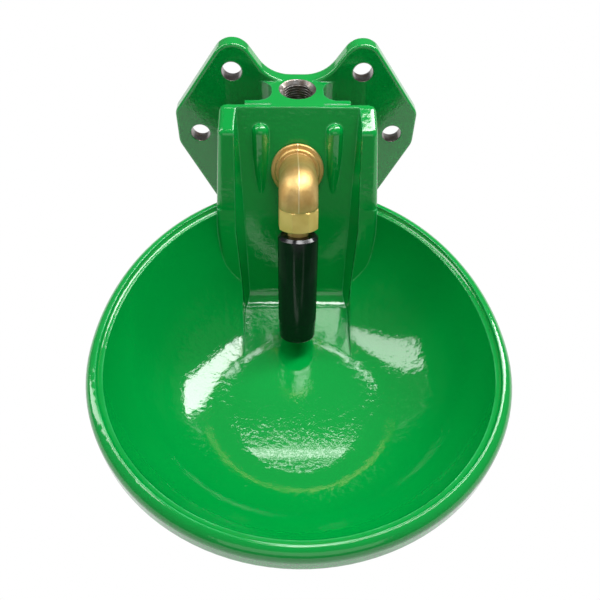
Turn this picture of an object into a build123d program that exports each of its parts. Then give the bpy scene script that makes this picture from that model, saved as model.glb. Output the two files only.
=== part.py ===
from build123d import *
import os
from math import asin, cos, degrees, radians, sin, tan

os.makedirs("parts", exist_ok=True)

# Livestock drinking bowl: one iron casting that bolts to a wall, with a brass pipe valve in its recess.
# Millimetres, +Z up. The wall is the plane y = 0 and the bowl stands in front of it, towards -Y.
# The origin lies in the wall plane, midway between the two lower bolt holes.

# Wall plate
plate_thickness = 9.0
plate_half_width = 81.5
plate_side_low = -8.0         # where the upright side of the plate ends
plate_side_high = 16.0        # where it starts to slope in towards the ear
plate_foot_half_width = 50.0
plate_foot_z = -76.0
ear_apex_x = 41.0             # corner of the ear before it is rounded
ear_apex_z = 74.0
ear_round = 12.5
dip_half_width = 17.5         # corner between the ear and the dip before it is rounded
dip_round = 24.0
plate_shoulder_round = 8.0
plate_side_round = 12.0
plate_foot_round = 12.0
plate_edge_round = 2.0
low_bolt_spacing = 132.0
high_bolt_spacing = 84.0
bolt_row_rise = 46.0
bolt_hole_radius = 6.5

# Water inlet in the neck between the plate and the recess
top_z = 39.3                  # top face of the neck and of the recess
inlet_y = -18.0
thread_radius = 9.3           # half-inch pipe thread at its crests
thread_length = 16.0
thread_mouth_radius = 11.8
channel_radius = 6.5
neck_half_width = 16.5
neck_round = 9.0
neck_foot_z = plate_foot_z    # the neck reaches as low as the plate

# Recess that shields the valve
recess_lean = 22.0            # of its back face, the guard walls and the pipe, from upright
recess_front_y = -38.7        # front edge of the top bar
recess_wall = 7.5
recess_half_width = 38.2      # of the back face at the top
recess_foot_half_width = 32.2
recess_floor_z = -83.5
recess_flare_depth = 8.0
recess_top_flare = 0.3        # how much wider the recess is at its mouth than at its back face
recess_flare_width = 5.2
recess_flare_z = -29.0
recess_foot_flare = 3.0
recess_reach = 70.0           # how far forward the recess is cut
recess_floor_round = 13.0
guard_top_half_width = 48.6
guard_rim_half_width = 52.0
guard_foot_half_width = 46.0
guard_nose_run = 16.8         # the sloping shoulder at the top of the guard wall, forward
guard_nose_drop = 7.0         # and down
guard_depth = 11.5            # from the back face to the flat fronts of the guard walls, from the rim down
guard_front_end = -62.0       # where these fronts have run out into the side of the bowl
guard_edge_round = 4.0
low_round_step = 1.5          # the rounds below the rim are this much smaller than those above it
bar_round = 8.0
nose_round = 5.0
hood_back_round = 5.0
rib_x = 23.3
rib_radius = 5.4
rib_top_z = 30.5
rib_lean = 14.5
rib_rise = 2.0                # axis of the rib in front of the back face at its top

# Bowl
bowl_centre_y = -181.0
rim_z = -15.2
bowl_half_width = 103.9       # inside, just under the rounded rim
bowl_depth = 69.5
bowl_floor_radius = 38.0
bowl_wall = 6.0
back_stretch = 1.21           # the half towards the wall is longer than the front half
bowl_flare = 25.0             # how far above the rim the side would stand upright
bead_width = 9.0
bead_height = 15.0
lip_round = 3.0               # inner edge of the bead
crown_round = 6.0             # outer edge of the bead

# Brass valve, along the axis of the pipe
port_z = 3.2                  # where the arm of the elbow leaves the back face
arm_reach = 40.3              # from the back face to the axis of the pipe
corner_rise = 18.7            # from the pivot of the pipe up to the axis of the arm
elbow_radius = 11.8
elbow_bend = 9.0
arm_bore_radius = 6.0
spigot_radius = 10.4
spigot_length = 12.0
gasket_radius = 15.6
gasket_thickness = 1.2
collar_radius = 16.9
collar_thickness = 2.2
collar_chamfer = 0.6
shoulder_radius = 14.4
shoulder_thickness = 3.0
shoulder_chamfer = 0.8
nut_corner_radius = 12.4
nut_sides = 8
nut_turn = 5.0                # degrees that the tightened nut is turned out of square
nut_bevel = 0.9
nut_bevel_slope = 0.67
nut_top = 6.8                 # heights from here on are above the pivot of the pipe
nut_bottom = -5.9
nut_floor = -3.0
nut_hole_radius = 7.7
nut_step = 0.5
nut_ledge = 0.6               # narrow ledge under the rubber ring
thread_male_radius = 9.85
thread_male_end = 2.0
mouth_bore_radius = 8.75
seat_bottom = 9.9
seat_top = 11.8
seat_hole_radius = 3.2
spring_chamber_radius = 4.8
spring_chamber_top = 21.5

# Rocking pipe
ball_radius = 8.8
ball_top = 6.4
washer_radius = 7.6
washer_top = 6.8
washer_hole_radius = 3.0
neck_radius = 6.3
stem_radius = 7.0
stem_end = -42.0
stem_bore_radius = 4.5
head_bore_radius = 2.5
sleeve_shoulder = -12.0
sleeve_radius = 12.5
sleeve_taper = 0.3
sleeve_chamfer = 1.8
sleeve_end = -68.0
sleeve_bore_radius = 8.6
sleeve_neck_gap = 0.3
cap_end = -81.4
cap_radius = 12.0
cap_tip_radius = 11.4
cap_round = 2.2
cap_spigot = 7.0
cap_bore_radius = 6.2
o_ring_section = 1.0
o_ring_height = -20.0

# Plunger and its spring
foot_gap = 0.85               # free play between the ball and the foot at rest
foot_radius = 4.0
foot_thickness = 1.0
pin_radius = 1.8
seal_radius = 4.6
seal_thickness = 1.8
cap_thickness = 1.0
cap_disc_radius = 4.2
spring_wire = 0.7
spring_radius = 3.2
spring_turns = 3.0

# Closed connection at the foot of the neck
plug_head_across = 22.0
plug_head_height = 7.0
plug_thread_length = 11.0
plug_seal_thickness = 1.5

# Allowances for cuts that have to pass right through
overcut = 1.0
deep_overcut = 20.0
channel_step = 2.0            # cone from the thread into the narrower channel

# Clearances
running_gap = 0.05            # ball in its seat, washer on the ball
thread_gap = 0.05             # between screwed pieces
seal_gap = 0.2                # rubber ring round the ball
edge_reach = 1.0              # an edge whose middle is this near to a face bounds it

hood_back_y = recess_front_y + recess_wall
lean_run = tan(radians(recess_lean))


def back_face_y(z):
    """Where the back face of the recess lies at a height."""
    return recess_front_y - (top_z - z) * lean_run


port = Vector(0, back_face_y(port_z), port_z)
pipe_up = Vector(0, sin(radians(recess_lean)), cos(radians(recess_lean)))
arm_out = Vector(0, -cos(radians(recess_lean)), sin(radians(recess_lean)))
pivot = port + arm_out * arm_reach - pipe_up * corner_rise

pipe_frame = Location(pivot, (-recess_lean, 0, 0))
arm_frame = Location(port, (90 - recess_lean, 0, 0))


def ring(outer, inner, low, high):
    """A plain ring or tube about the local Z axis."""
    body = Pos(0, 0, low) * Cylinder(outer, high - low, align=(Align.CENTER, Align.CENTER, Align.MIN))
    if inner > 0:
        through = high - low + 2 * overcut
        drill = Cylinder(inner, through, align=(Align.CENTER, Align.CENTER, Align.MIN))
        hole = Pos(0, 0, low - overcut) * drill
        body -= hole
    return body


def turned(points):
    """A solid turned about the local Z axis from (radius, height) corners."""
    outline = Polyline(*[(r, 0, z) for r, z in points], close=True)
    return revolve(make_face(outline), Axis.Z)


def wall_plate():
    corners = [
        (-dip_half_width, top_z),
        (-ear_apex_x, ear_apex_z),
        (-plate_half_width, plate_side_high),
        (-plate_half_width, plate_side_low),
        (-plate_foot_half_width, plate_foot_z),
        (plate_foot_half_width, plate_foot_z),
        (plate_half_width, plate_side_low),
        (plate_half_width, plate_side_high),
        (ear_apex_x, ear_apex_z),
        (dip_half_width, top_z),
    ]
    side_rounds = [ear_round, plate_shoulder_round, plate_side_round, plate_foot_round]
    rounds = [dip_round, *side_rounds, *reversed(side_rounds), dip_round]
    outline = FilletPolyline(*corners, radius=rounds, close=True)
    face = Plane.XZ * make_face(outline)
    plate = extrude(face, plate_thickness)
    front = plate.faces().sort_by(Axis.Y)[0]
    return fillet(front.edges(), plate_edge_round)


def flange(y, depth):
    return Pos(0, y - depth / 2) * Rectangle(4 * neck_half_width, depth)


def waist(plan):
    """Rounds the inner corners of a plan where the neck meets a flange."""
    corners = plan.vertices().filter_by(lambda v: abs(abs(v.X) - neck_half_width) < 0.01)
    inner = corners.filter_by(lambda v: abs(v.Y - inlet_y) > 1)
    return fillet(inner, neck_round)


def neck():
    """Waisted block that carries the water channel from the plate to the back of the recess."""
    height = top_z - neck_foot_z
    back_web = Pos(0, inlet_y / 2) * Rectangle(2 * neck_half_width, -inlet_y)
    back_plan = waist(flange(0, plate_thickness) + back_web)
    back = Pos(0, 0, neck_foot_z) * extrude(back_plan, height)
    reach = recess_wall / 2
    front_web = Pos(0, (inlet_y + hood_back_y - reach) / 2) * Rectangle(
        2 * neck_half_width, inlet_y - hood_back_y + reach
    )
    front_plan = waist(flange(hood_back_y, reach) + front_web)
    lean_down = Vector(0, -sin(radians(recess_lean)), -cos(radians(recess_lean)))
    front = Pos(0, 0, top_z) * extrude(front_plan, height, dir=lean_down)
    web_reach = -back_face_y(neck_foot_z) - recess_wall / 2
    web = Box(2 * neck_half_width, web_reach, height, align=(Align.CENTER, Align.MAX, Align.MAX))
    return back + front + Pos(0, 0, top_z) * web


def guard_taper():
    """Front view of the guard block: widest at the rim, drawn in towards the top and the foot."""
    foot_z = recess_floor_z - bowl_wall
    right = [
        (guard_foot_half_width, foot_z),
        (guard_rim_half_width, rim_z - bead_height),
        (guard_rim_half_width, rim_z),
        (guard_top_half_width, top_z),
    ]
    left = [(-x, z) for x, z in reversed(right)]
    return extrude(Plane.XZ * make_face(Polyline(*right, *left, close=True)), -2 * bowl_centre_y, both=True)


def seen_from_side(face):
    return extrude(Plane.YZ * face, 2 * guard_rim_half_width, both=True)


def guard_front_y(z):
    """Where the flat fronts of the guard walls lie at a height at or below the rim."""
    return back_face_y(z) - guard_depth


def guard_upper():
    """Guard walls and top bar above the rim, with all outer edges rounded."""
    nose_y = recess_front_y - guard_nose_run
    corners = [
        (hood_back_y, top_z),
        (recess_front_y, top_z),
        (nose_y, top_z - guard_nose_drop),
        (guard_front_y(rim_z), rim_z),
        (back_face_y(rim_z) + recess_wall, rim_z),
    ]
    side = make_face(Polyline(*corners, close=True))
    bar_corner = side.vertices().filter_by(lambda v: abs(v.X - recess_front_y) < 0.01)
    side = fillet(bar_corner, bar_round)
    nose = side.vertices().filter_by(lambda v: abs(v.X - nose_y) < 0.01)
    block = seen_from_side(fillet(nose, nose_round)) & guard_taper()
    block = fillet(block.edges().filter_by(is_hood_back_edge), hood_back_round)
    return fillet(block.edges().filter_by(is_guard_edge), guard_edge_round)


def is_hood_back_edge(edge):
    """One of the two edges behind the hood that run from its top down to the rim."""
    middle = edge.center()
    tall = abs((edge @ 0).Z - (edge @ 1).Z) > top_z
    return tall and middle.Y > back_face_y(middle.Z)


def is_guard_edge(edge):
    """An edge that is seen round the top face, the noses and the fronts of the guard walls."""
    middle = edge.center()
    tall = abs((edge @ 0).Z - (edge @ 1).Z) > top_z
    if middle.Z < rim_z + edge_reach or (tall and middle.Y > back_face_y(middle.Z)):
        return False
    top_back = middle.Z > top_z - edge_reach and middle.Y > hood_back_y - edge_reach
    return top_back or abs(middle.X) > guard_top_half_width - edge_reach


def guard_lower():
    """The same block below the rim: it joins the recess to the bowl's side and runs on under its floor."""
    foot_z = recess_floor_z - bowl_wall
    toe_y = bowl_centre_y + bowl_floor_radius
    corners = [
        (back_face_y(rim_z) + recess_wall, rim_z),
        (guard_front_y(rim_z), rim_z),
        (guard_front_y(guard_front_end), guard_front_end),
        (toe_y, guard_front_end),
        (toe_y, foot_z),
        (back_face_y(foot_z) + recess_wall, foot_z),
    ]
    block = seen_from_side(make_face(Polyline(*corners, close=True))) & guard_taper()
    block = fillet(block.edges().filter_by(is_lower_back_edge), hood_back_round - low_round_step)
    return fillet(block.edges().filter_by(is_lower_front_edge), guard_edge_round - low_round_step)


def behind_fronts():
    """The space behind the flat fronts of the guard walls, between the rim and where they run out."""
    corners = [
        (guard_front_y(rim_z), rim_z + overcut),
        (guard_front_y(rim_z), rim_z),
        (guard_front_y(guard_front_end), guard_front_end),
        (0, guard_front_end),
        (0, rim_z + overcut),
    ]
    return seen_from_side(make_face(Polyline(*corners, close=True)))


def is_upright_side_edge(edge):
    upright = abs((edge @ 0).Z - (edge @ 1).Z) > bead_height / 2
    return upright and abs(edge.center().X) > guard_foot_half_width


def is_lower_back_edge(edge):
    return is_upright_side_edge(edge) and edge.center().Y > back_face_y(edge.center().Z)


def is_lower_front_edge(edge):
    middle = edge.center()
    above_floor = middle.Z > guard_front_end
    return is_upright_side_edge(edge) and above_floor and middle.Y < back_face_y(middle.Z)


def recess_section(z, flare_width):
    """Plan of the recess at a height, open towards the bowl."""
    narrowing = (recess_half_width - recess_foot_half_width) / (top_z - recess_floor_z)
    half_width = recess_half_width - narrowing * (top_z - z)
    back = back_face_y(z)
    reach = back - recess_reach
    flare_x = half_width + flare_width
    flare_y = back - recess_flare_depth
    right = [(half_width, back), (flare_x, flare_y), (flare_x, reach)]
    left = [(-x, y) for x, y in reversed(right)]
    return Pos(0, 0, z) * make_face(Polyline(*right, *left, close=True))


def recess_cut():
    """The space of the recess: its sides hardly flare at the top and flare most below the rim."""
    top = recess_section(top_z + recess_wall, recess_top_flare)
    middle = recess_section(recess_flare_z, recess_flare_width)
    foot = recess_section(recess_floor_z, recess_foot_flare)
    cut = loft([top, middle, foot], ruled=True)
    floor_edge = cut.faces().sort_by(Axis.Z)[0].edges().sort_by(Axis.Y)[-1]
    return fillet(floor_edge, recess_floor_round)


def bowl_side(radius, floor_z, top):
    """Right half of a dish: flat floor and a side that steepens towards the rim."""
    height = top - floor_z
    tall = height + bowl_flare
    steepness = (1 - (1 - height / tall) ** 2) ** 0.5
    width = (radius - bowl_floor_radius) / steepness
    sweep = degrees(asin(steepness))
    floor = Line((0, floor_z), (bowl_floor_radius, floor_z))
    middle = (bowl_floor_radius, floor_z + tall)
    side = EllipticalCenterArc(middle, width, tall, start_angle=270, arc_size=sweep)
    return floor + side


def half_revolved(profile, toward_wall):
    face = Plane.XZ * make_face(profile)
    turn = 180 if toward_wall else -180
    return revolve(face, Axis.Z, turn)


def egg(profile):
    """Round in front of the bowl's centre, stretched behind it."""
    front = half_revolved(profile, False)
    back = scale(half_revolved(profile, True), by=(1, back_stretch, 1))
    return Pos(0, bowl_centre_y, 0) * (front + back)


def bowl_inside():
    """The hollow of the bowl, rounded over at the bead."""
    side_top = rim_z - lip_round
    crest = bowl_half_width + lip_round
    side = bowl_side(bowl_half_width, rim_z - bowl_depth, side_top)
    lip = RadiusArc((bowl_half_width, side_top), (crest, rim_z), -lip_round)
    over_z = rim_z + overcut
    above = Polyline((crest, rim_z), (crest, over_z), (0, over_z), (0, rim_z - bowl_depth))
    return egg(side + lip + above)


def bowl_core():
    """The hollow without its rounded lip, up to the rim."""
    side_top = rim_z - lip_round
    side = bowl_side(bowl_half_width, rim_z - bowl_depth, side_top)
    low_z = rim_z - bowl_depth
    rest = Polyline((bowl_half_width, side_top), (bowl_half_width, rim_z), (0, rim_z), (0, low_z))
    return egg(side + rest)


def bowl_outside():
    """The outer skin with the rolled bead at the rim."""
    floor_z = rim_z - bowl_depth - bowl_wall
    skin = bowl_half_width + bowl_wall
    outer = bowl_half_width + bead_width
    under = bead_width - bowl_wall
    low = rim_z - bead_height
    crown_z = rim_z - crown_round
    crest = bowl_half_width + lip_round
    side = bowl_side(skin, floor_z, low)
    roll = RadiusArc((skin, low), (outer, low + under), -under)
    upright = Line((outer, low + under), (outer, crown_z))
    crown = RadiusArc((outer, crown_z), (crest, rim_z), -crown_round)
    rest = Polyline((crest, rim_z), (0, rim_z), (0, floor_z))
    return egg(side + roll + upright + crown + rest)


def recess_rib(side):
    top_y = back_face_y(rib_top_z) - rib_rise
    axis = Location((side * rib_x, top_y, rib_top_z - rib_radius), (-rib_lean, 0, 0))
    length = rib_top_z - recess_floor_z
    bar = Pos(0, 0, -length) * Cylinder(rib_radius, length, align=(Align.CENTER, Align.CENTER, Align.MIN))
    return axis * (bar + Sphere(rib_radius))


def bolt_holes():
    holes = Part()
    for spacing, z in ((low_bolt_spacing, 0), (high_bolt_spacing, bolt_row_rise)):
        for side in (-1, 1):
            drill = Cylinder(bolt_hole_radius, 4 * plate_thickness)
            holes += Pos(side * spacing / 2, 0, z) * Rot(90, 0, 0) * drill
    return holes


def water_way():
    """Threaded inlet, upright channel, threaded foot and the port that the valve screws into."""
    mouth = thread_mouth_radius - thread_radius
    shaft = turned([
        (0, top_z + overcut),
        (thread_mouth_radius, top_z + overcut),
        (thread_mouth_radius, top_z),
        (thread_radius, top_z - mouth),
        (thread_radius, top_z - thread_length),
        (channel_radius, top_z - thread_length - channel_step),
        (channel_radius, neck_foot_z + thread_length + channel_step),
        (thread_radius, neck_foot_z + thread_length),
        (thread_radius, neck_foot_z - overcut),
        (0, neck_foot_z - overcut),
    ])
    port_hole = ring(spigot_radius + thread_gap, 0, -spigot_length - overcut, deep_overcut)
    to_channel = (-port.Y + inlet_y) / cos(radians(recess_lean))
    port_way = ring(arm_bore_radius, 0, -to_channel, overcut)
    return Pos(0, inlet_y, 0) * shaft + arm_frame * (port_hole + port_way)


def bowl_casting():
    recess = recess_cut() - recess_rib(-1) - recess_rib(1)
    guards = guard_upper() + guard_lower() - (bowl_core() - behind_fronts())
    bowl = bowl_outside() - bowl_inside()
    casting = guards + bowl + wall_plate() + neck()
    return casting - recess - bolt_holes() - water_way()


def lower_plug_seal():
    outer = thread_mouth_radius
    seal = ring(outer, thread_radius - thread_gap, neck_foot_z - plug_seal_thickness, neck_foot_z)
    return Pos(0, inlet_y, 0) * seal


def lower_plug():
    """Hexagon screw plug that closes the connection at the foot of the neck."""
    head_top = neck_foot_z - plug_seal_thickness
    hexagon = RegularPolygon(plug_head_across / 2, 6, major_radius=False)
    head = Pos(0, 0, head_top - plug_head_height) * extrude(hexagon, plug_head_height)
    shank = ring(thread_radius - thread_gap, 0, head_top, neck_foot_z + plug_thread_length)
    return Pos(0, inlet_y, 0) * (head + shank)


def port_gasket():
    return arm_frame * ring(gasket_radius, spigot_radius + thread_gap, 0, gasket_thickness)


def valve_collar():
    low = gasket_thickness
    collar = ring(collar_radius, spigot_radius + thread_gap, low, low + collar_thickness)
    rim = collar.edges().filter_by(GeomType.CIRCLE).sort_by(SortBy.RADIUS)[-2:].sort_by(Axis.Z)[-1]
    return arm_frame * chamfer(rim, collar_chamfer)


def elbow_bend_solid():
    """Quarter turn between the arm and the leg, about the inner corner, in the frame of the pipe."""
    width = 4 * elbow_radius
    section = Pos(elbow_bend, 0) * Circle(elbow_radius) & Pos(width / 2, 0) * Rectangle(width, width)
    quarter = revolve(Plane.XZ * section, Axis.Z, 90)
    corner = Location((0, elbow_bend, corner_rise - elbow_bend), (0, 90, 0))
    return corner * Rot(0, 0, 180) * quarter


def elbow_outside():
    seat = gasket_thickness + collar_thickness
    arm = ring(elbow_radius, 0, seat, arm_reach - elbow_bend)
    shoulder = ring(shoulder_radius, 0, seat, seat + shoulder_thickness)
    rim = shoulder.edges().sort_by(Axis.Z)[-1]
    shoulder = chamfer(rim, shoulder_chamfer)
    spigot = ring(spigot_radius, 0, -spigot_length, seat)
    leg = ring(elbow_radius, 0, nut_top, corner_rise - elbow_bend)
    male = ring(thread_male_radius, 0, thread_male_end, nut_top)
    return arm_frame * (arm + shoulder + spigot) + pipe_frame * (leg + male + elbow_bend_solid())


def valve_elbow():
    arm_bore = ring(arm_bore_radius, 0, -spigot_length - overcut, arm_reach)
    mouth = ring(mouth_bore_radius, 0, thread_male_end - overcut, seat_top)
    chamber = ring(spring_chamber_radius, 0, seat_top, spring_chamber_top)
    return elbow_outside() - arm_frame * arm_bore - pipe_frame * (mouth + chamber)


def valve_nut():
    octagon = RegularPolygon(nut_corner_radius, nut_sides, rotation=180 / nut_sides + nut_turn)
    body = Pos(0, 0, nut_bottom) * extrude(octagon, nut_top - nut_bottom)
    turning = turned([
        (0, nut_bottom),
        (nut_corner_radius - nut_bevel, nut_bottom),
        (nut_corner_radius, nut_bottom + nut_bevel * nut_bevel_slope),
        (nut_corner_radius, nut_top - nut_bevel * nut_bevel_slope),
        (nut_corner_radius - nut_bevel, nut_top),
        (0, nut_top),
    ])
    thread = ring(thread_male_radius + thread_gap, 0, nut_step, nut_top + overcut)
    cavity = ring(thread_male_radius - nut_ledge, 0, nut_floor, nut_step)
    hole = ring(nut_hole_radius, 0, nut_bottom - overcut, nut_floor + overcut)
    ball_seat = Sphere(ball_radius + running_gap)
    return pipe_frame * ((body & turning) - thread - cavity - hole - ball_seat)


def nut_seal():
    """Rubber ring that the nut presses against the mouth of the elbow."""
    return pipe_frame * ring(thread_male_radius, ball_radius + seal_gap, nut_step, thread_male_end)


def seat_ring():
    return pipe_frame * ring(mouth_bore_radius - thread_gap, seat_hole_radius, seat_bottom, seat_top)


def plunger():
    """Brass pin with a foot below the seat and a disc above the rubber seal."""
    foot_low = ball_top + foot_gap
    foot = ring(foot_radius, 0, foot_low, foot_low + foot_thickness)
    disc_low = seat_top + seal_thickness
    pin = ring(pin_radius, 0, foot_low, disc_low)
    disc = ring(cap_disc_radius, 0, disc_low, disc_low + cap_thickness)
    return pipe_frame * (foot + pin + disc)


def plunger_seal():
    return pipe_frame * ring(seal_radius, pin_radius, seat_top, seat_top + seal_thickness)


def return_spring():
    low = seat_top + seal_thickness + cap_thickness + spring_wire / 2
    high = spring_chamber_top - spring_wire / 2
    path = Helix((high - low) / spring_turns, high - low, spring_radius)
    wire = Plane(origin=path @ 0, z_dir=path % 0) * Circle(spring_wire / 2)
    coil = Pos(0, 0, low) * sweep(wire, path=path, is_frenet=True)
    return pipe_frame * coil


def thrust_washer():
    """Ring with a hollow round underside that rides on the ball and carries its fore-and-aft rocking."""
    ring_body = ring(washer_radius, washer_hole_radius, ball_top / 2, washer_top)
    return pipe_frame * (ring_body - Sphere(ball_radius + running_gap))


def pipe_stem():
    """Brass ball head, neck and threaded tube in one piece."""
    keep = ring(ball_radius + overcut, 0, nut_bottom - overcut, ball_top)
    head = Sphere(ball_radius) & keep
    neck_rod = ring(neck_radius, 0, sleeve_shoulder, 0)
    tube = ring(stem_radius, 0, stem_end, sleeve_shoulder)
    groove_low = o_ring_height - o_ring_section
    groove_high = o_ring_height + o_ring_section
    groove = ring(stem_radius + overcut, stem_radius - o_ring_section, groove_low, groove_high)
    bore = ring(stem_bore_radius, 0, stem_end - overcut, nut_bottom)
    head_bore = ring(head_bore_radius, 0, nut_bottom - overcut, ball_top + overcut)
    return pipe_frame * (head + neck_rod + tube - groove - bore - head_bore)


def stem_o_ring():
    major = stem_radius - o_ring_section / 2
    return pipe_frame * Pos(0, 0, o_ring_height) * Torus(major, o_ring_section / 2)


def pipe_sleeve():
    """Black plastic sleeve over the stem, chamfered at its top and open inside."""
    crown = sleeve_shoulder + sleeve_chamfer
    fit = stem_radius + thread_gap
    wall = turned([
        (neck_radius + sleeve_neck_gap, crown),
        (sleeve_radius - sleeve_chamfer, crown),
        (sleeve_radius, sleeve_shoulder),
        (sleeve_radius - sleeve_taper, sleeve_end),
        (sleeve_bore_radius, sleeve_end),
        (sleeve_bore_radius, stem_end),
        (fit, stem_end),
        (fit, sleeve_shoulder),
        (neck_radius + sleeve_neck_gap, sleeve_shoulder),
    ])
    return pipe_frame * wall


def end_cap():
    """Tapered outlet cap with a spigot that plugs into the sleeve."""
    outside = turned([
        (0, cap_end),
        (cap_tip_radius, cap_end),
        (cap_radius, sleeve_end),
        (sleeve_bore_radius - thread_gap, sleeve_end),
        (sleeve_bore_radius - thread_gap, sleeve_end + cap_spigot),
        (0, sleeve_end + cap_spigot),
    ])
    tip = outside.faces().sort_by(Axis.Z)[0].edges()
    outside = fillet(tip, cap_round)
    bore = ring(cap_bore_radius, 0, cap_end - overcut, sleeve_end + cap_spigot + overcut)
    return pipe_frame * (outside - bore)


pieces = {
    "bowl_casting": bowl_casting,
    "lower_plug_seal": lower_plug_seal,
    "lower_plug": lower_plug,
    "port_gasket": port_gasket,
    "valve_collar": valve_collar,
    "valve_elbow": valve_elbow,
    "valve_nut": valve_nut,
    "nut_seal": nut_seal,
    "seat_ring": seat_ring,
    "plunger": plunger,
    "plunger_seal": plunger_seal,
    "return_spring": return_spring,
    "thrust_washer": thrust_washer,
    "pipe_stem": pipe_stem,
    "stem_o_ring": stem_o_ring,
    "pipe_sleeve": pipe_sleeve,
    "end_cap": end_cap,
}

for name, make in pieces.items():
    export_step(make(), f"parts/{name}.step")
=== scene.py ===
import math

import bpy
from mathutils import Matrix, Vector


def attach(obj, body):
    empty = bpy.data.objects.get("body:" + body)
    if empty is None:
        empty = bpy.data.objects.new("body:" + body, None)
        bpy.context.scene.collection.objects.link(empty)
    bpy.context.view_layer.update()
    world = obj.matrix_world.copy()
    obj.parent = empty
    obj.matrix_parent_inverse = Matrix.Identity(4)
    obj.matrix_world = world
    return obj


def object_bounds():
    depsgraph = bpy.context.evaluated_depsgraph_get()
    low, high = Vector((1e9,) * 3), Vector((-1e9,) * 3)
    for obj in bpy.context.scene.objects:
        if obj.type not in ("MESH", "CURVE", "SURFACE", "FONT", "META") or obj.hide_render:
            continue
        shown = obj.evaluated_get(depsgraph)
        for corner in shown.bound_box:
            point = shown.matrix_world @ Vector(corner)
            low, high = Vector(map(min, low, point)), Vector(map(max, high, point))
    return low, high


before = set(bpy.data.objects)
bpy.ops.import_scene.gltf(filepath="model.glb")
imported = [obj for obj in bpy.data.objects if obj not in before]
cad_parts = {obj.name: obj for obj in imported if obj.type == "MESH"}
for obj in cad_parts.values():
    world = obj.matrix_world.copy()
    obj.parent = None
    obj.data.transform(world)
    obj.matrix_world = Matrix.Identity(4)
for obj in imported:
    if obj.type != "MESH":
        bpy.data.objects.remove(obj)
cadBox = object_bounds()
bpy.ops.object.select_all(action="DESELECT")
scene = bpy.context.scene
mm = 0.001
print("frame loaded")

# camera and lamps
camera = {"lens": 39.0, "sensor": 36.0, "place": (-0.0085, -0.3919, 0.2623), "tilt": 41.2, "turn": -1.4}
cameraData = bpy.data.cameras.new("camera")
cameraData.lens = camera["lens"]
cameraData.sensor_width = camera["sensor"]
cameraObject = bpy.data.objects.new("camera", cameraData)
cameraObject.location = camera["place"]
tilted = Matrix.Rotation(math.radians(camera["tilt"]), 4, "X")
turned = Matrix.Rotation(math.radians(camera["turn"]), 4, "Y")  # about the camera's own upright
cameraObject.rotation_euler = (tilted @ turned).to_euler()
scene.collection.objects.link(cameraObject)
scene.camera = cameraObject
scene.view_settings.view_transform = "Standard"

lamps = {
    "lampRight": {"place": (0.36, 0.12, 0.74), "size": (0.22, 1.15), "watts": 11.5},
    "lampLeft": {"place": (-0.82, 0.10, 0.74), "size": (0.26, 1.10), "watts": 6.0},
    "lampBack": {"place": (0.0, 0.23, 0.74), "size": (0.50, 0.016), "watts": 0.4},
    "lampFront": {"place": (0.0, -1.10, 0.55), "size": (1.20, 0.50), "watts": 1.6},
}
lampAim = Vector((0, -0.12, -0.04))  # the middle of the bowl
for name, values in lamps.items():
    lampData = bpy.data.lights.new(name, "AREA")
    lampData.shape = "RECTANGLE"
    lampData.size, lampData.size_y = values["size"]
    lampData.energy = values["watts"]
    lamp = bpy.data.objects.new(name, lampData)
    lamp.location = values["place"]
    lamp.rotation_euler = (lampAim - lamp.location).to_track_quat("-Z", "Y").to_euler()
    scene.collection.objects.link(lamp)

room = {"color": (1, 1, 1, 1), "strength": 0.17}
world = bpy.data.worlds.new("room")
scene.world = world
world.use_nodes = True
roomShade = world.node_tree.nodes["Background"]
roomShade.inputs["Color"].default_value = room["color"]
roomShade.inputs["Strength"].default_value = room["strength"]
print("camera and lamps set")


def tint(red, green, blue):  # 0 to 255 as on a screen, to the linear colour that shaders take
    def linear(channel):
        channel /= 255
        return channel / 12.92 if channel <= 0.04045 else ((channel + 0.055) / 1.055) ** 2.4
    return (linear(red), linear(green), linear(blue), 1)


def addNode(tree, kind, place=(0, 0), **settings):
    node = tree.nodes.new(kind)
    node.location = place
    for name, value in settings.items():
        setattr(node, name, value)
    return node


def newGroup(name, inputs, outputs):
    group = bpy.data.node_groups.new(name, "ShaderNodeTree")
    for socketName, socketType, value in inputs:
        socket = group.interface.new_socket(name=socketName, in_out="INPUT", socket_type=socketType)
        if value is not None:
            socket.default_value = value
    for socketName, socketType in outputs:
        group.interface.new_socket(name=socketName, in_out="OUTPUT", socket_type=socketType)
    enter = addNode(group, "NodeGroupInput", (-800, 0))
    leave = addNode(group, "NodeGroupOutput", (600, 0))
    return group, enter, leave


def mathNode(tree, operation, first, second, place=(0, 0), clamp=False):
    node = addNode(tree, "ShaderNodeMath", place, operation=operation, use_clamp=clamp)
    for index, value in enumerate((first, second)):
        if isinstance(value, (int, float)):
            node.inputs[index].default_value = value
        elif value is not None:
            tree.links.new(value, node.inputs[index])
    return node.outputs[0]


# grain: bumps of two sizes, for cast skin, orange peel and moulded plastic
grain, grainIn, grainOut = newGroup(
    "grain",
    [("Vector", "NodeSocketVector", None), ("Fine Scale", "NodeSocketFloat", 400.0),
     ("Broad Scale", "NodeSocketFloat", 60.0), ("Broad Share", "NodeSocketFloat", 0.5)],
    [("Height", "NodeSocketFloat")],
)
fineNoise = addNode(grain, "ShaderNodeTexNoise", (-500, 150))
fineNoise.inputs["Detail"].default_value = 2.0
broadNoise = addNode(grain, "ShaderNodeTexNoise", (-500, -150))
broadNoise.inputs["Detail"].default_value = 1.0
for noise, scaleName in ((fineNoise, "Fine Scale"), (broadNoise, "Broad Scale")):
    grain.links.new(grainIn.outputs["Vector"], noise.inputs["Vector"])
    grain.links.new(grainIn.outputs[scaleName], noise.inputs["Scale"])
broadShare = grainIn.outputs["Broad Share"]
broadPart = mathNode(grain, "MULTIPLY", broadNoise.outputs["Fac"], broadShare, (-200, -150))
grainHeight = mathNode(grain, "ADD", fineNoise.outputs["Fac"], broadPart, (100, 0))
grain.links.new(grainHeight, grainOut.inputs["Height"])

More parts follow.
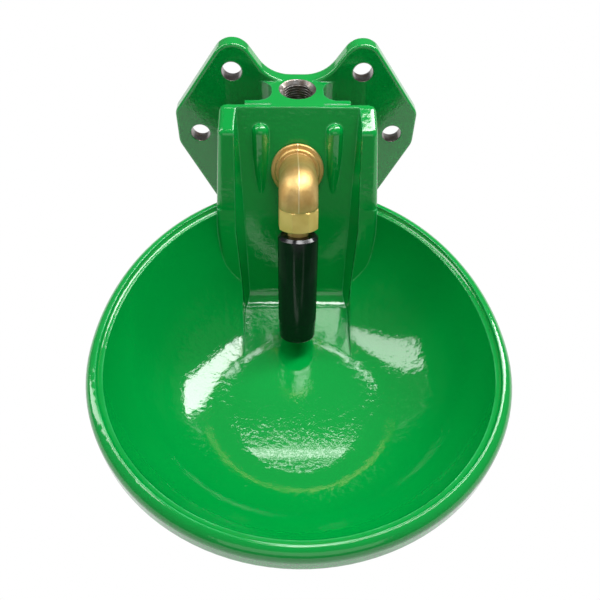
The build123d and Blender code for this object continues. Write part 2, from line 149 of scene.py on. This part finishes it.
# patches: a soft mask of clouds between two levels
patches, patchesIn, patchesOut = newGroup(
    "patches",
    [("Vector", "NodeSocketVector", None), ("Scale", "NodeSocketFloat", 30.0),
     ("Low", "NodeSocketFloat", 0.4), ("High", "NodeSocketFloat", 0.6)],
    [("Mask", "NodeSocketFloat")],
)
cloud = addNode(patches, "ShaderNodeTexNoise", (-500, 0))
cloud.inputs["Detail"].default_value = 4.0
patches.links.new(patchesIn.outputs["Vector"], cloud.inputs["Vector"])
patches.links.new(patchesIn.outputs["Scale"], cloud.inputs["Scale"])
level = addNode(patches, "ShaderNodeMapRange", (-150, 0))
patches.links.new(cloud.outputs["Fac"], level.inputs["Value"])
patches.links.new(patchesIn.outputs["Low"], level.inputs["From Min"])
patches.links.new(patchesIn.outputs["High"], level.inputs["From Max"])
patches.links.new(level.outputs["Result"], patchesOut.inputs["Mask"])

# softEdge: a rounded normal, and a mask of the edges
edge = {"samples": 8, "start": 0.995, "full": 0.86}  # where edge wear and painted edge highlight start and are full, as the normals part
softEdge, softEdgeIn, softEdgeOut = newGroup(
    "softEdge",
    [("Radius", "NodeSocketFloat", 0.001)],
    [("Normal", "NodeSocketVector"), ("Edge", "NodeSocketFloat")],
)
rounding = addNode(softEdge, "ShaderNodeBevel", (-500, 100), samples=edge["samples"])
softEdge.links.new(softEdgeIn.outputs["Radius"], rounding.inputs["Radius"])
trueNormal = addNode(softEdge, "ShaderNodeNewGeometry", (-500, -150))
match = addNode(softEdge, "ShaderNodeVectorMath", (-250, 0), operation="DOT_PRODUCT")
softEdge.links.new(rounding.outputs["Normal"], match.inputs[0])
softEdge.links.new(trueNormal.outputs["Normal"], match.inputs[1])
edgeLevel = addNode(softEdge, "ShaderNodeMapRange", (0, 0))
edgeLevel.inputs["From Min"].default_value = edge["start"]
edgeLevel.inputs["From Max"].default_value = edge["full"]
softEdge.links.new(match.outputs["Value"], edgeLevel.inputs["Value"])
softEdge.links.new(edgeLevel.outputs["Result"], softEdgeOut.inputs["Edge"])
softEdge.links.new(rounding.outputs["Normal"], softEdgeOut.inputs["Normal"])

# bores: the machined walls of the four bolt holes and of the inlet
boltHoles = {"low": (66.0 * mm, 0.0), "high": (42.0 * mm, 46.0 * mm), "radius": 6.6 * mm}
inlet = {"y": -18.0 * mm, "top": 39.3 * mm, "radius": 9.3 * mm, "mouth": 11.9 * mm, "depth": 16.0 * mm}
bores, boresIn, boresOut = newGroup(
    "bores", [("Vector", "NodeSocketVector", None)], [("Mask", "NodeSocketFloat")]
)
parted = addNode(bores, "ShaderNodeSeparateXYZ", (-700, 0))
bores.links.new(boresIn.outputs["Vector"], parted.inputs[0])
axisX, axisY, axisZ = parted.outputs
sideX = mathNode(bores, "ABSOLUTE", axisX, None, (-600, 200))


def insideCircle(first, second, middle, radius, place):
    away = mathNode(bores, "SUBTRACT", first, middle[0], place)
    along = mathNode(bores, "SUBTRACT", second, middle[1], place)
    away = mathNode(bores, "MULTIPLY", away, away, place)
    along = mathNode(bores, "MULTIPLY", along, along, place)
    return mathNode(bores, "LESS_THAN", mathNode(bores, "ADD", away, along, place), radius * radius, place)


lowHoles = insideCircle(sideX, axisZ, boltHoles["low"], boltHoles["radius"], (-400, 300))
highHoles = insideCircle(sideX, axisZ, boltHoles["high"], boltHoles["radius"], (-400, 100))
mouthDisc = insideCircle(axisX, axisY, (0.0, inlet["y"]), inlet["mouth"], (-400, -100))
inletHigh = mathNode(bores, "GREATER_THAN", axisZ, inlet["top"] - inlet["depth"], (-400, -300))
mouthDisc = mathNode(bores, "MULTIPLY", mouthDisc, inletHigh, (-200, -200))
anyBore = mathNode(bores, "MAXIMUM", lowHoles, highHoles, (0, 200))
bores.links.new(mathNode(bores, "MAXIMUM", anyBore, mouthDisc, (200, 0)), boresOut.inputs["Mask"])

# partingSeam: the fine raised line that a two-part mould leaves in the middle plane
partingSeam, seamIn, seamOut = newGroup(
    "partingSeam", [("Vector", "NodeSocketVector", None), ("Width", "NodeSocketFloat", 0.5 * mm)],
    [("Mask", "NodeSocketFloat")],
)
seamParts = addNode(partingSeam, "ShaderNodeSeparateXYZ", (-600, 0))
partingSeam.links.new(seamIn.outputs["Vector"], seamParts.inputs[0])
fromMiddle = mathNode(partingSeam, "ABSOLUTE", seamParts.outputs["X"], None, (-400, 0))
share = mathNode(partingSeam, "DIVIDE", fromMiddle, seamIn.outputs["Width"], (-200, 0))
seamLine = mathNode(partingSeam, "SUBTRACT", 1.0, share, (0, 0), clamp=True)
partingSeam.links.new(seamLine, seamOut.inputs["Mask"])


def addGroup(tree, group, place, **values):
    node = addNode(tree, "ShaderNodeGroup", place, node_tree=group)
    for name, value in values.items():
        node.inputs[name.replace("_", " ")].default_value = value
    return node


def mixColor(tree, factor, first, second, place=(0, 0)):
    node = addNode(tree, "ShaderNodeMix", place, data_type="RGBA")
    for socket, value in ((node.inputs[0], factor), (node.inputs[6], first), (node.inputs[7], second)):
        if isinstance(value, (int, float, tuple)):
            socket.default_value = value
        else:
            tree.links.new(value, socket)
    return node.outputs[2]


def mixValue(tree, factor, first, second, place=(0, 0)):
    node = addNode(tree, "ShaderNodeMix", place, data_type="FLOAT")
    for socket, value in ((node.inputs[0], factor), (node.inputs[2], first), (node.inputs[3], second)):
        if isinstance(value, (int, float)):
            socket.default_value = value
        else:
            tree.links.new(value, socket)
    return node.outputs[0]


def newMaterial(name, fixed):
    material = bpy.data.materials.new(name)
    material.use_nodes = True
    tree = material.node_tree
    shader = tree.nodes["Principled BSDF"]
    for socketName, value in fixed.items():
        shader.inputs[socketName].default_value = value
    place = addNode(tree, "ShaderNodeTexCoord", (-1400, 0)).outputs["Object"]
    return material, tree, shader, place


cloudRange = {"Low": 0.35, "High": 0.65}
wearAndHighlightRange = {"Low": 0.3, "High": 0.6}
boreMetal = 0.85  # how metallic the bare iron in the holes is


def finishSurface(tree, shader, place, finish):
    # colour clouds, uneven gloss, soft edges with wear and painted edge highlight, and grain in the bump
    clouds = addGroup(tree, patches, (-1100, 300), Scale=finish["cloudScale"], **cloudRange)
    tree.links.new(place, clouds.inputs["Vector"])
    color = mixColor(tree, clouds.outputs["Mask"], finish["color"], finish["clouded"], (-800, 300))
    edges = addGroup(tree, softEdge, (-1100, -300), Radius=finish["edgeRadius"])
    wearAndHighlightClouds = addGroup(tree, patches, (-1100, 0), Scale=finish["wearAndHighlightScale"], **wearAndHighlightRange)
    tree.links.new(place, wearAndHighlightClouds.inputs["Vector"])
    # edges take the lighter worn colour: real wear, and on the enamel also a painted edge highlight
    wearAndHighlight = mathNode(tree, "MULTIPLY", edges.outputs["Edge"], wearAndHighlightClouds.outputs["Mask"], (-800, 0))
    wearAndHighlight = mathNode(tree, "MULTIPLY", wearAndHighlight, finish["wearAndHighlight"], (-650, 0))
    color = mixColor(tree, wearAndHighlight, color, finish["wornAndHighlight"], (-500, 300))
    gloss = mixValue(tree, clouds.outputs["Mask"], finish["roughness"], finish["roughnessFar"], (-500, 0))
    bumps = addGroup(tree, grain, (-1100, -600), Fine_Scale=finish["fineScale"],
                     Broad_Scale=finish["broadScale"], Broad_Share=finish["broadShare"])
    tree.links.new(place, bumps.inputs["Vector"])
    bump = addNode(tree, "ShaderNodeBump", (-300, -400))
    bump.inputs["Strength"].default_value = finish["bump"]
    bump.inputs["Distance"].default_value = finish["bumpDepth"]
    height = bumps.outputs["Height"]
    if finish.get("seam"):
        line = addGroup(tree, partingSeam, (-1100, -800), Width=finish["seam"])
        tree.links.new(place, line.inputs["Vector"])
        height = mathNode(tree, "ADD", height, line.outputs["Mask"], (-500, -500))
        color = mixColor(tree, line.outputs["Mask"], color, finish["wornAndHighlight"], (-300, 300))
    tree.links.new(height, bump.inputs["Height"])
    tree.links.new(edges.outputs["Normal"], bump.inputs["Normal"])
    tree.links.new(color, shader.inputs["Base Color"])
    tree.links.new(gloss, shader.inputs["Roughness"])
    tree.links.new(bump.outputs["Normal"], shader.inputs["Normal"])
    return color, gloss


finishes = {
    "enamel": {
        # the lighter green on the enamel's edges is a painted edge highlight as well as wear
        "color": tint(0, 146, 57), "clouded": tint(1, 152, 61), "wornAndHighlight": tint(84, 206, 134),
        "cloudScale": 9.0, "wearAndHighlightScale": 60.0, "wearAndHighlight": 0.5, "edgeRadius": 1.6 * mm,
        "roughness": 0.07, "roughnessFar": 0.10, "fineScale": 300.0, "broadScale": 55.0, "broadShare": 0.8,
        "bump": 1.0, "bumpDepth": 0.13 * mm,
    },
    "castBrass": {
        "seam": 0.55 * mm,
        "color": tint(222, 188, 122), "clouded": tint(204, 164, 96), "wornAndHighlight": tint(250, 226, 176),
        "cloudScale": 90.0, "wearAndHighlightScale": 200.0, "wearAndHighlight": 0.6, "edgeRadius": 0.5 * mm,
        "roughness": 0.40, "roughnessFar": 0.50, "fineScale": 1500.0, "broadScale": 300.0, "broadShare": 0.8,
        "bump": 0.8, "bumpDepth": 0.24 * mm,
    },
    "turnedBrass": {
        "color": tint(252, 214, 130), "clouded": tint(240, 200, 114), "wornAndHighlight": tint(252, 234, 182),
        "cloudScale": 110.0, "wearAndHighlightScale": 260.0, "wearAndHighlight": 0.8, "edgeRadius": 0.35 * mm,
        "roughness": 0.36, "roughnessFar": 0.44, "fineScale": 2200.0, "broadScale": 400.0, "broadShare": 0.5,
        "bump": 0.3, "bumpDepth": 0.05 * mm,
    },
    "blackPlastic": {
        "color": tint(13, 14, 17), "clouded": tint(19, 20, 24), "wornAndHighlight": tint(60, 62, 68),
        "cloudScale": 60.0, "wearAndHighlightScale": 300.0, "wearAndHighlight": 0.35, "edgeRadius": 0.3 * mm,
        "roughness": 0.12, "roughnessFar": 0.17, "fineScale": 1800.0, "broadScale": 200.0, "broadShare": 0.6,
        "bump": 0.25, "bumpDepth": 0.02 * mm,
    },
    "whitePlastic": {
        "color": tint(226, 226, 218), "clouded": tint(216, 216, 206), "wornAndHighlight": tint(240, 240, 236),
        "cloudScale": 90.0, "wearAndHighlightScale": 200.0, "wearAndHighlight": 0.3, "edgeRadius": 0.2 * mm,
        "roughness": 0.38, "roughnessFar": 0.46, "fineScale": 1600.0, "broadScale": 240.0, "broadShare": 0.5,
        "bump": 0.25, "bumpDepth": 0.05 * mm,
    },
    "rubber": {
        "color": tint(24, 24, 25), "clouded": tint(34, 34, 35), "wornAndHighlight": tint(70, 70, 70),
        "cloudScale": 120.0, "wearAndHighlightScale": 300.0, "wearAndHighlight": 0.3, "edgeRadius": 0.2 * mm,
        "roughness": 0.62, "roughnessFar": 0.75, "fineScale": 1400.0, "broadScale": 260.0, "broadShare": 0.6,
        "bump": 0.5, "bumpDepth": 0.08 * mm,
    },
    "springSteel": {
        "color": tint(176, 178, 180), "clouded": tint(150, 150, 152), "wornAndHighlight": tint(226, 226, 226),
        "cloudScale": 300.0, "wearAndHighlightScale": 500.0, "wearAndHighlight": 0.4, "edgeRadius": 0.1 * mm,
        "roughness": 0.28, "roughnessFar": 0.38, "fineScale": 2500.0, "broadScale": 500.0, "broadShare": 0.4,
        "bump": 0.3, "bumpDepth": 0.03 * mm,
    },
    "bareIron": {
        "color": tint(150, 148, 146), "clouded": tint(122, 108, 98), "wornAndHighlight": tint(206, 200, 196),
        "cloudScale": 220.0, "wearAndHighlightScale": 300.0, "wearAndHighlight": 0.7, "edgeRadius": 0.2 * mm,
        "roughness": 0.34, "roughnessFar": 0.5, "fineScale": 1500.0, "broadScale": 300.0, "broadShare": 0.8,
        "bump": 0.6, "bumpDepth": 0.08 * mm,
    },
}
fixedValues = {
    "enamel": {"IOR": 1.5, "Coat Weight": 0.4, "Coat IOR": 1.5, "Coat Roughness": 0.04},
    "castBrass": {"Metallic": 0.85},
    "turnedBrass": {"Metallic": 0.4},
    "blackPlastic": {"Specular IOR Level": 0.5},
    "whitePlastic": {"Subsurface Weight": 0.05},
    "rubber": {},
    "springSteel": {"Metallic": 1.0},
    "bareIron": {"Metallic": 1.0},
}
materials = {}
for name, finish in finishes.items():
    material, tree, shader, place = newMaterial(name, fixedValues[name])
    color, gloss = finishSurface(tree, shader, place, finish)
    if name == "enamel":  # no enamel inside the drilled and threaded holes
        iron = finishes["bareIron"]
        bored = addGroup(tree, bores, (-1100, 600))
        tree.links.new(place, bored.inputs["Vector"])
        bare = bored.outputs["Mask"]
        streaks = addGroup(tree, patches, (-1100, 800), Scale=iron["cloudScale"], **cloudRange)
        tree.links.new(place, streaks.inputs["Vector"])
        ironColor = mixColor(tree, streaks.outputs["Mask"], iron["color"], iron["clouded"], (-800, 700))
        tree.links.new(mixColor(tree, bare, color, ironColor, (-200, 500)), shader.inputs["Base Color"])
        ironGloss = mixValue(tree, bare, gloss, iron["roughness"], (-200, 200))
        tree.links.new(ironGloss, shader.inputs["Roughness"])
        ironMetal = mathNode(tree, "MULTIPLY", bare, boreMetal, (-200, 700))
        tree.links.new(ironMetal, shader.inputs["Metallic"])
    materials[name] = material
print("materials made")

nodeFinish = {
    "bowl_casting": "enamel", "lower_plug": "turnedBrass", "lower_plug_seal": "rubber",
    "port_gasket": "rubber", "valve_collar": "castBrass", "valve_elbow": "castBrass",
    "valve_nut": "turnedBrass", "nut_seal": "rubber", "seat_ring": "whitePlastic",
    "plunger": "turnedBrass", "plunger_seal": "rubber", "return_spring": "springSteel",
    "thrust_washer": "whitePlastic", "pipe_stem": "turnedBrass", "stem_o_ring": "rubber",
    "pipe_sleeve": "blackPlastic", "end_cap": "blackPlastic",
}
for node, finishName in nodeFinish.items():
    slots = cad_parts[node].material_slots
    for slot in slots:
        slot.material = materials[finishName]
    if not slots:
        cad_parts[node].data.materials.append(materials[finishName])
print("materials given to the CAD nodes")

# inletThread: the ridges of the half-inch pipe thread in the inlet
thread = {"pitch": 1.814 * mm, "rise": 0.55 * mm, "turns": 8, "steps": 72, "sides": 3, "foot": 0.06 * mm}
bpy.ops.object.select_all(action="DESELECT")
bpy.ops.mesh.primitive_circle_add(vertices=thread["sides"], radius=thread["rise"], fill_type="NOTHING")
ridge = bpy.context.object
ridge.name = "inletThread"
bpy.ops.object.mode_set(mode="EDIT")
bpy.ops.mesh.select_all(action="SELECT")
bpy.ops.transform.rotate(value=math.pi / 2, orient_axis="X", center_override=(0, 0, 0))
bpy.ops.transform.translate(value=(inlet["radius"] + thread["foot"] - thread["rise"] / 2, 0, 0))
bpy.ops.object.mode_set(mode="OBJECT")
helix = ridge.modifiers.new("helix", "SCREW")
helix.axis = "Z"
helix.screw_offset = -thread["pitch"]
helix.iterations = thread["turns"]
helix.steps = helix.render_steps = thread["steps"]
helix.use_merge_vertices = False
bpy.ops.object.modifier_apply(modifier="helix")
bpy.ops.object.mode_set(mode="EDIT")
bpy.ops.mesh.select_all(action="SELECT")
bpy.ops.transform.translate(value=(0, inlet["y"], inlet["top"] - (inlet["mouth"] - inlet["radius"])))
bpy.ops.mesh.normals_make_consistent(inside=False)
bpy.ops.object.mode_set(mode="OBJECT")
ridge.data.materials.append(materials["bareIron"])
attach(ridge, "bowl")
print("inlet thread cut")

# floor: plain and pale, shown white where nothing shades it
floor = {"size": 6.0, "gap": 0.5 * mm, "color": (0.8, 0.8, 0.8, 1), "roughness": 0.9}
bpy.ops.mesh.primitive_plane_add(size=floor["size"], location=(0, 0, cadBox[0][2] - floor["gap"]))
floorObject = bpy.context.object
floorObject.name = "floor"
floorMaterial = bpy.data.materials.new("floor")
floorMaterial.use_nodes = True
tree = floorMaterial.node_tree
tree.nodes["Principled BSDF"].inputs["Base Color"].default_value = floor["color"]
tree.nodes["Principled BSDF"].inputs["Roughness"].default_value = floor["roughness"]
glow = addNode(tree, "ShaderNodeEmission", (0, -200))
rays = addNode(tree, "ShaderNodeLightPath", (-600, 300))
seen = mathNode(tree, "MAXIMUM", rays.outputs["Is Camera Ray"], rays.outputs["Is Glossy Ray"], (-300, 300))
seen = mathNode(tree, "MAXIMUM", seen, rays.outputs["Is Transmission Ray"], (-150, 300))
blendShade = addNode(tree, "ShaderNodeMixShader", (300, 0))
tree.links.new(seen, blendShade.inputs["Fac"])
tree.links.new(tree.nodes["Principled BSDF"].outputs["BSDF"], blendShade.inputs[1])
tree.links.new(glow.outputs["Emission"], blendShade.inputs[2])
tree.links.new(blendShade.outputs["Shader"], tree.nodes["Material Output"].inputs["Surface"])
floorObject.data.materials.append(floorMaterial)
print("floor laid")
